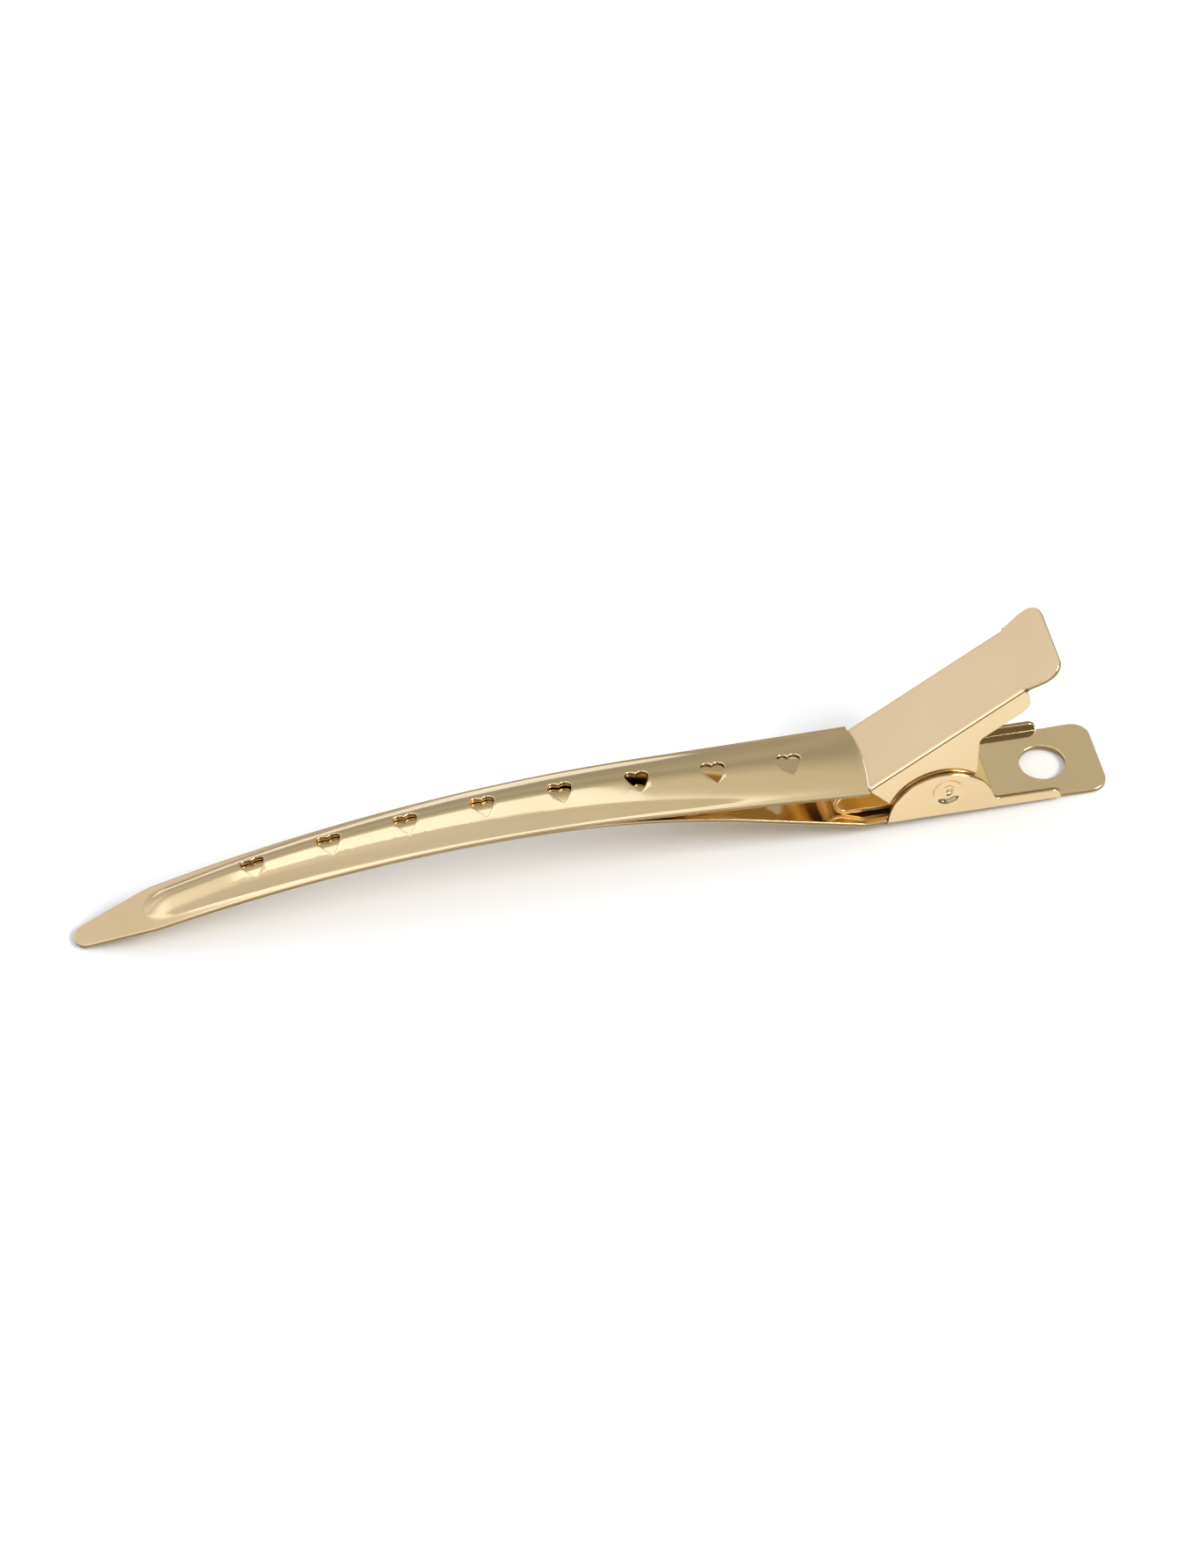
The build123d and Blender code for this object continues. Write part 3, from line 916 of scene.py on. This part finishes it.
# %% Lower flanges and ears
dish_radius = 1.5
dimple_rings = [1.6, 1.5, 1.42, 1.34, 1.26, 1.18, 1.1, 1.0, 0.97, 0.93, 0.88, 0.8, 0.72, 0.64, 0.56,
                0.48, 0.4, 0.32, 0.24, 0.16]
ear_steps = 40
ear_lip_run = 0.8
ear_lip_radius = 0.6
fold_rows = [number for number, distance in enumerate(distances) if distance < wing_end]
plate_side = {}
for side in (1, -1):
    end = add_point(lower, lip_end, side * fold_y, sheet)
    line = [end] + [rows[number][side * fold_columns] for number in fold_rows]
    plate_side[side] = end
    top = fold_strip(lower, line, side, lever_up, inner_fold_radius, lever_up - Vector((0, side, 0)))
    lip_x = ear_x + sqrt(ear_radius**2 - (lip_height - ear_z) ** 2)
    start_angle = pi - asin((sheet + inner_fold_radius - ear_z) / ear_radius)
    end_angle = asin((lip_height - ear_z) / ear_radius) + ear_lip_run / ear_radius
    ear_line = arc((ear_x, ear_z), ear_radius, start_angle, end_angle, ear_steps)
    outline = ear_line[1:] + rounded([
        (*ear_line[-1], 0),
        (lip_x, lip_height, ear_lip_radius),
        (lip_end, lip_height, lip_corner),
        (lip_end, sheet + inner_fold_radius, 0),
    ])[1:-1]
    y = side * inner_half
    edge = [add_point(lower, x, y, z) for x, z in outline]
    previous = None
    for radius in dimple_rings:
        ring = [add_point(lower, x, y, z)
                for x, z in arc((hinge_x, hinge_z), radius, 0, 2 * pi, hole_steps)[:-1]]
        if previous:
            quad_strip(lower, previous + previous[:1], ring + ring[:1], Vector((0, -side, 0)))
        else:
            outer_ring = ring
        previous = ring
    flat_patch(lower, previous, None, (0, -side, 0))
    flat_patch(lower, top + edge, outer_ring, (0, -side, 0))
print("ears with", len(dimple_rings), "rings each for the dimple")

# %% [markdown]
# The lower end pad has the same outline as the upper one, a little narrower, and a large round hole, by
# which the clip hangs on a card.

# %% Lower end pad
lower_lever_length = 19.6
lower_pad_width = 8.1
pad_corner = 1.5
hanging_hole_x = 14.7
hanging_hole_radius = 2.0
hanging_hole_steps = 56
pad_outset = 0.12
edge = [add_point(lower, x, y, sheet)
        for x, y in pad_outline(lip_end, lower_lever_length, fold_y, fold_y + pad_outset, lower_pad_width,
                                pad_corner)]
hole = [add_point(lower, x, y, sheet)
        for x, y in arc((hanging_hole_x, 0), hanging_hole_radius, 0, 2 * pi, hanging_hole_steps)[:-1]]
first_row = [rows[0][column] for column in sorted(rows[0])]
slits = [place(x, side * lever_width / 2, sheet / 2) for x in (ear_front, lip_end) for side in (1, -1)]
flat_patch(lower, first_row + [plate_side[1]] + edge + [plate_side[-1]], hole, slits=slits)
soften(lower, thicken(lower, sheet), slits)
print("lower end pad", lower_pad_width, "mm wide, with a hole of", 2 * hanging_hole_radius, "mm")

# %% [markdown]
# Pressing the dimples: points near the hinge's line move inwards. The outer skin becomes a shallow dish,
# crumpled by the press, with a cup and a small pit in it. The inner skin becomes a round boss that stands
# in the upper jaw's hole.

# %% Press the dimples
boss_radius = 1.0
boss_setback = 0.05
boss_height = side_clearance + sheet - boss_setback
boss_round = 0.12
dish_floor = 1.0
dish_depth = 0.3
crumple_depth = 0.09
crumple_pitch = 1.6
cup_radius = 0.75
cup_floor = 0.4
cup_depth = 0.12
cup_place = (0.1, -0.18)
pit_radius = 0.32
pit_floor = 0.12
pit_depth = 0.22
pit_place = (0.3, -0.38)
ear_inside = 3.5


def step_down(radius, outer, inner):
    """Smooth step from 0 at the outer radius to 1 at the inner one."""
    share = min(max((outer - radius) / (outer - inner), 0), 1)
    return share * share * (3 - 2 * share)


def dish(x, z):
    """Depth of the dish at a place measured from the hinge: a wide dish, a cup in it, and a pit."""
    cup = hypot(x - cup_place[0], z - cup_place[1])
    pit = hypot(x - pit_place[0], z - pit_place[1])
    crumple = noise.noise(Vector((x, z, 0)) * crumple_pitch) * crumple_depth
    return ((dish_depth + crumple) * step_down(hypot(x, z), dish_radius, dish_floor)
            + cup_depth * step_down(cup, cup_radius, cup_floor)
            + pit_depth * step_down(pit, pit_radius, pit_floor))


def boss(radius):
    edge = (boss_radius - radius) / boss_round
    return boss_height * min(max(edge, 0), 1) ** 0.5


moved = 0
for vert in lower.verts:
    spoke = vert.co - hinge
    across = spoke.y / MM
    radius = hypot(spoke.x, spoke.z) / MM
    if radius > dimple_rings[0] + 0.01 or abs(across) < ear_inside:
        continue
    side = 1 if across > 0 else -1
    outer = abs(across) > inner_half + sheet / 2
    pressed = dish(spoke.dot(lever_along) / MM, spoke.dot(lever_up) / MM) if outer else boss(radius)
    vert.co.y -= side * pressed * MM
    moved += 1
print("dimples:", moved, "points pressed in")

lower_jaw = finish_piece(lower, "lower_jaw_sheet", "lower", "lower_jaw")

# %% [markdown]
# ## Leaf spring
# A strip bent to a U: one arm lies on the finger lever, the closed end curls round in front of the hinge,
# and the other arm pushes the thumb lever up. A curve with a flat profile could make it too, but rows of
# quads along its side view use the tools that the jaws have already. It can't follow the joint as a stiff
# piece, and here it rides with the lower jaw.

# %% Leaf spring
spring_sheet = 0.4
spring_width = 6.0
spring_gap = 0.05
curl_radius = 1.22
curl_x = -3.5
spring_knee_x = -1.5
spring_knee_radius = 2.2
lower_arm_end = 9.5
upper_arm_end = 11.0
curl_steps = 28
knee_steps = 14
spring_cells = 8
half_strip = spring_sheet / 2
curl_z = sheet + (heel_x - curl_x) * tan(heel_rise) + (curl_radius + spring_gap) / cos(heel_rise)
curl = curl_radius - half_strip
arm_z = sheet + spring_gap + half_strip
run = lower_arm_end - curl_x
arm_slope = atan2(curl_z - arm_z, run) - asin(curl / hypot(run, curl_z - arm_z))
strip_line = [(lower_arm_end, arm_z)]
strip_line += arc((curl_x, curl_z), curl, 1.5 * pi - arm_slope, pi / 2, curl_steps)
strip_line += rounded([
    (curl_x, curl_z + curl, 0),
    (spring_knee_x, curl_z + curl, spring_knee_radius),
    (*on_thumb_plate(upper_arm_end, sheet + spring_gap + half_strip), 0),
], knee_steps)[1:]
spring_mesh = bmesh.new()
spring_rows = [[add_point(spring_mesh, x, spring_width * (step / spring_cells - 0.5), z)
                for step in range(spring_cells + 1)] for x, z in strip_line]
for row, ahead in zip(spring_rows, spring_rows[1:]):
    for a, b, c, d in zip(row, row[1:], ahead[1:], ahead):
        spring_mesh.faces.new((a, b, c, d))
soften(spring_mesh, thicken(spring_mesh, spring_sheet, outward=0.5))
spring = finish_piece(spring_mesh, "leaf_spring_strip", "lower", "leaf_spring")
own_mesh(spring)

# %% [markdown]
# ## Finish
# Pale gold plating over polished steel. It mirrors the studio, but no pressed sheet is a perfect mirror:
# rolling leaves it very slightly wavy, and handling leaves a fine haze that varies from place to place. An
# image of scratches could be wrapped round each piece, but it would need a layout of its own. So each of
# these is a small noise in the piece's own space, with a scale per metre, drawn out along the sheet.

# %% Plated gold
tone_scale = 90
haze_scale = 260
haze_stretch = (0.35, 1, 1)
wave_scale = 110
wave_stretch = (0.5, 1.2, 1)
grain_scale = 9000
grain_stretch = (0.12, 1, 1)
grain_depth = 0.0004


def plated_metal(name, color, deep_color, roughness, waviness):
    """Polished plating: slow waves, a patchy haze and a little change of tone."""
    metal = bpy.data.materials.new(name)
    metal.use_nodes = True
    nodes, links = metal.node_tree.nodes, metal.node_tree.links
    shader = nodes["Principled BSDF"]
    shader.inputs["Metallic"].default_value = 1
    place_node = nodes.new("ShaderNodeTexCoord")

    def cloud(scale, detail, stretch=(1, 1, 1)):
        mapping = nodes.new("ShaderNodeMapping")
        mapping.inputs["Scale"].default_value = stretch
        links.new(place_node.outputs["Object"], mapping.inputs["Vector"])
        texture = nodes.new("ShaderNodeTexNoise")
        texture.inputs["Scale"].default_value = scale
        texture.inputs["Detail"].default_value = detail
        links.new(mapping.outputs["Vector"], texture.inputs["Vector"])
        return texture.outputs["Fac"]

    def remap(value, low, high, into_low, into_high):
        node = nodes.new("ShaderNodeMapRange")
        limits = {"From Min": low, "From Max": high, "To Min": into_low, "To Max": into_high}
        for key, number in limits.items():
            node.inputs[key].default_value = number
        links.new(value, node.inputs["Value"])
        return node.outputs["Result"]

    def mix(factor, first, second):
        node = nodes.new("ShaderNodeMix")
        node.data_type = "RGBA"
        links.new(factor, node.inputs[0])
        for socket, value in ((node.inputs[6], first), (node.inputs[7], second)):
            if isinstance(value, tuple):
                socket.default_value = (*value, 1)
            else:
                links.new(value, socket)
        return node.outputs[2]

    tone = remap(cloud(tone_scale, 2), 0.35, 0.65, 0, 1)
    links.new(mix(tone, color, deep_color), shader.inputs["Base Color"])
    haze = remap(cloud(haze_scale, 4, haze_stretch), 0.3, 0.7, roughness * 0.75, roughness * 1.3)
    links.new(haze, shader.inputs["Roughness"])
    wave = nodes.new("ShaderNodeBump")
    wave.inputs["Distance"].default_value = waviness * MM
    wave.inputs["Strength"].default_value = 1
    links.new(cloud(wave_scale, 1, wave_stretch), wave.inputs["Height"])
    grain = nodes.new("ShaderNodeBump")
    grain.inputs["Distance"].default_value = grain_depth * MM
    grain.inputs["Strength"].default_value = 1
    links.new(cloud(grain_scale, 2, grain_stretch), grain.inputs["Height"])
    links.new(wave.outputs["Normal"], grain.inputs["Normal"])
    links.new(grain.outputs["Normal"], shader.inputs["Normal"])
    return metal


# %% [markdown]
# The flats of the jaws are polished. The rounded edges, which hair and fingers rub, are a shade paler and
# duller. The walls between them are rough and painted dark brown, which is painted shade: the thin dark
# line along the sheet's cut edges. The spring's strip is a yellower gold, much duller than the jaws. Each
# face holds the number of one of its piece's three metals, and the soft edges got theirs when the bevel
# made them.

# %% The metals
sheet_gold = plated_metal("plated_sheet_gold", (0.84, 0.66, 0.40), (0.81, 0.625, 0.37), 0.10, 0.012)
spring_gold = plated_metal("plated_spring_gold", (0.97, 0.74, 0.34), (0.95, 0.70, 0.30), 0.34, 0.008)
sheet_edge = plated_metal("rubbed_sheet_edge", (0.86, 0.69, 0.45), (0.78, 0.60, 0.36), 0.16, 0.004)
spring_edge = plated_metal("rubbed_spring_edge", (0.90, 0.66, 0.32), (0.84, 0.57, 0.24), 0.18, 0.004)
# The walls' dark brown is painted shade, the thin dark line along every cut edge; their roughness is real.
painted_shade_wall = plated_metal("painted_shade_wall", (0.36, 0.24, 0.10), (0.30, 0.20, 0.08), 0.45, 0.004)
for piece, flat, edge in ((upper_jaw, sheet_gold, sheet_edge), (lower_jaw, sheet_gold, sheet_edge),
                          (spring, spring_gold, spring_edge)):
    for metal in (flat, edge, painted_shade_wall):
        piece.data.materials.append(metal)
    print(piece.name, "is plated with", [metal.name for metal in piece.data.materials])

# %% [markdown]
# ## Camera
# The photograph looks down on the clip from its near left at about 45 degrees. The clip's near and far
# sides are drawn at nearly the same scale, so the camera stood far away, with a long lens. Its distance is
# worked out from the lens, so the clip stays as large in the picture when another lens is tried.

# %% Camera
azimuth = radians(-14.2)
elevation = radians(45.5)
lens = 400
sensor_width = 36
frame_width = 0.100
frame_ratio = 1785 / 1340
view_back = Vector((sin(azimuth) * cos(elevation), -cos(azimuth) * cos(elevation), sin(elevation)))
low, high = (Vector(corner) for corner in cad_box)
aim = (low + high) / 2
distance = frame_width * frame_ratio * lens / sensor_width
camera_data = bpy.data.cameras.new("camera")
camera_data.lens = lens
camera = bpy.data.objects.new("camera", camera_data)
bpy.context.collection.objects.link(camera)
camera.location = aim + view_back * distance
camera.rotation_euler = (-view_back).to_track_quat("-Z", "Y").to_euler()
bpy.context.scene.camera = camera
print("camera", round(distance, 2), "m away from", tuple(round(value, 4) for value in aim))

# %% [markdown]
# ## Floor
# The clip stands on a wide floor of matt white paint, with a faint change of tone. Without a floor, the
# metal would mirror only the world below it, and the clip would hang in the air. It isn't a piece of the
# clip.

# %% Floor
paint_roughness = 0.85
paint_scale = 4
paint_whites = (0.85, 0.88)
reach = 3.0
floor_mesh = bpy.data.meshes.new("floor")
floor_mesh.from_pydata([(-reach, -reach, 0), (reach, -reach, 0), (reach, reach, 0), (-reach, reach, 0)],
                       [], [(0, 1, 2, 3)])
floor = bpy.data.objects.new("floor", floor_mesh)
bpy.context.collection.objects.link(floor)
floor_paint = bpy.data.materials.new("floor_paint")
floor_paint.use_nodes = True
paint_nodes, paint_links = floor_paint.node_tree.nodes, floor_paint.node_tree.links
paint_shader = paint_nodes["Principled BSDF"]
paint_shader.inputs["Roughness"].default_value = paint_roughness
paint_noise = paint_nodes.new("ShaderNodeTexNoise")
paint_noise.inputs["Scale"].default_value = paint_scale
paint_tone = paint_nodes.new("ShaderNodeMapRange")
for limit, white in zip(("To Min", "To Max"), paint_whites):
    paint_tone.inputs[limit].default_value = white
paint_links.new(paint_noise.outputs["Fac"], paint_tone.inputs["Value"])
paint_links.new(paint_tone.outputs["Result"], paint_shader.inputs["Base Color"])
floor_mesh.materials.append(floor_paint)
print("floor", 2 * reach, "m wide")

# %% [markdown]
# ## Light
# Polished metal shows the room, so the room is what is lit. Beyond the clip the wall is mid grey with a
# darker gap at the height that a blade's far side mirrors, and it is brighter to the left. The wall behind
# the camera is dark, which draws a thin dark line along every near edge and turns the inside brown.

# %% Walls of the studio
wall_strength = 2.05
world = bpy.data.worlds.new("studio")
world.use_nodes = True
bpy.context.scene.world = world
nodes, links = world.node_tree.nodes, world.node_tree.links
way = nodes.new("ShaderNodeTexCoord")
parts = nodes.new("ShaderNodeSeparateXYZ")
links.new(way.outputs["Generated"], parts.inputs["Vector"])


def ramp(value, low, high, stops):
    """Colour ramp over a value between two limits, from (place, grey) or (place, (r, g, b)) stops."""
    span = nodes.new("ShaderNodeMapRange")
    span.inputs["From Min"].default_value = low
    span.inputs["From Max"].default_value = high
    links.new(value, span.inputs["Value"])
    node = nodes.new("ShaderNodeValToRGB")
    elements = node.color_ramp.elements
    while len(elements) < len(stops):
        elements.new(0.5)
    for element, (spot, color) in zip(elements, stops):
        element.position = (spot - low) / (high - low)
        element.color = (*color, 1) if isinstance(color, tuple) else (color, color, color, 1)
    links.new(span.outputs["Result"], node.inputs["Fac"])
    return node.outputs["Color"]


def blend_colors(kind, factor, first, second):
    node = nodes.new("ShaderNodeMix")
    node.data_type = "RGBA"
    node.blend_type = kind
    if isinstance(factor, (int, float)):
        node.inputs[0].default_value = factor
    else:
        links.new(factor, node.inputs[0])
    links.new(first, node.inputs[6])
    links.new(second, node.inputs[7])
    return node.outputs[2]


far_wall = ramp(parts.outputs["Z"], 0, 1, [
    (0.0, 0.38), (0.3, 0.42), (0.42, 0.48), (0.50, 0.45), (0.56, 0.40), (0.62, 0.44), (0.68, 0.55),
    (0.76, 0.68), (1.0, 0.68),
])
side_tint = ramp(parts.outputs["X"], -1, 1, [
    (-1, (0.86, 0.86, 0.92)), (-0.58, (0.95, 0.94, 1.0)), (-0.26, (0.70, 0.69, 0.69)),
    (0.1, (0.50, 0.50, 0.47)), (0.25, (0.50, 0.49, 0.44)), (1, (0.50, 0.49, 0.44)),
])
near_left = ramp(parts.outputs["Z"], 0, 1, [
    (0.0, 0.10), (0.2, 0.08), (0.32, 0.26), (0.5, 0.32), (1.0, 0.36),
])
near_right = ramp(parts.outputs["Z"], 0, 1, [
    (0.0, 0.16), (0.2, 0.10), (0.72, 0.08), (0.88, 0.33), (1.0, 0.36),
])
rightness = ramp(parts.outputs["X"], -1, 1, [(-1, 0.0), (0.05, 0.0), (0.16, 1.0), (1, 1.0)])
nearness = ramp(parts.outputs["Y"], -1, 1, [(-1, 1.0), (-0.3, 1.0), (-0.08, 0.0), (1, 0.0)])
near_wall = blend_colors("MIX", rightness, near_left, near_right)
room = blend_colors("MIX", nearness, blend_colors("MULTIPLY", 1.0, far_wall, side_tint), near_wall)
links.new(room, nodes["Background"].inputs["Color"])
nodes["Background"].inputs["Strength"].default_value = wall_strength
bpy.context.scene.view_settings.view_transform = "Standard"
print("walls lit at", wall_strength, "with", len(nodes), "nodes")

# %% [markdown]
# One soft panel hangs above and beyond the clip. It gives the cream band along the blade: its edges are
# where the band stops. Two larger ones stand to the left and right of the camera, out of sight of every
# broad face. They light the floor, and the left one puts a thin bright line on the thumb lever's fold. A
# lamp's mirror image is added to the wall behind it, so the band panel is bluish, to leave the band cream.

# %% Panels
side_panel_size = (0.9, 0.5)


def panel(name, spot, size_x, size_y, radiance, tint=(1, 1, 1)):
    """Rectangular light facing down, as bright as the given radiance."""
    data = bpy.data.lights.new(name, "AREA")
    data.shape = "RECTANGLE"
    data.size = size_x
    data.size_y = size_y
    data.color = tint
    data.energy = radiance * pi * size_x * size_y
    lamp = bpy.data.objects.new(name, data)
    lamp.location = spot
    bpy.context.collection.objects.link(lamp)
    print(name, round(data.energy, 2), "W")
    return lamp


panel("band_panel", (0.02, 0.49, 1.0), 0.62, 0.82, 0.66, (0.85, 1.0, 1.25))
side_panels = (("left_panel", (-1.1, -0.95, 1.0), 1.3), ("right_panel", (1.1, -0.6, 1.0), 16))
for name, spot, radiance in side_panels:
    lamp = panel(name, spot, *side_panel_size, radiance)
    lamp.rotation_euler = lamp.location.to_track_quat("Z", "Y").to_euler()
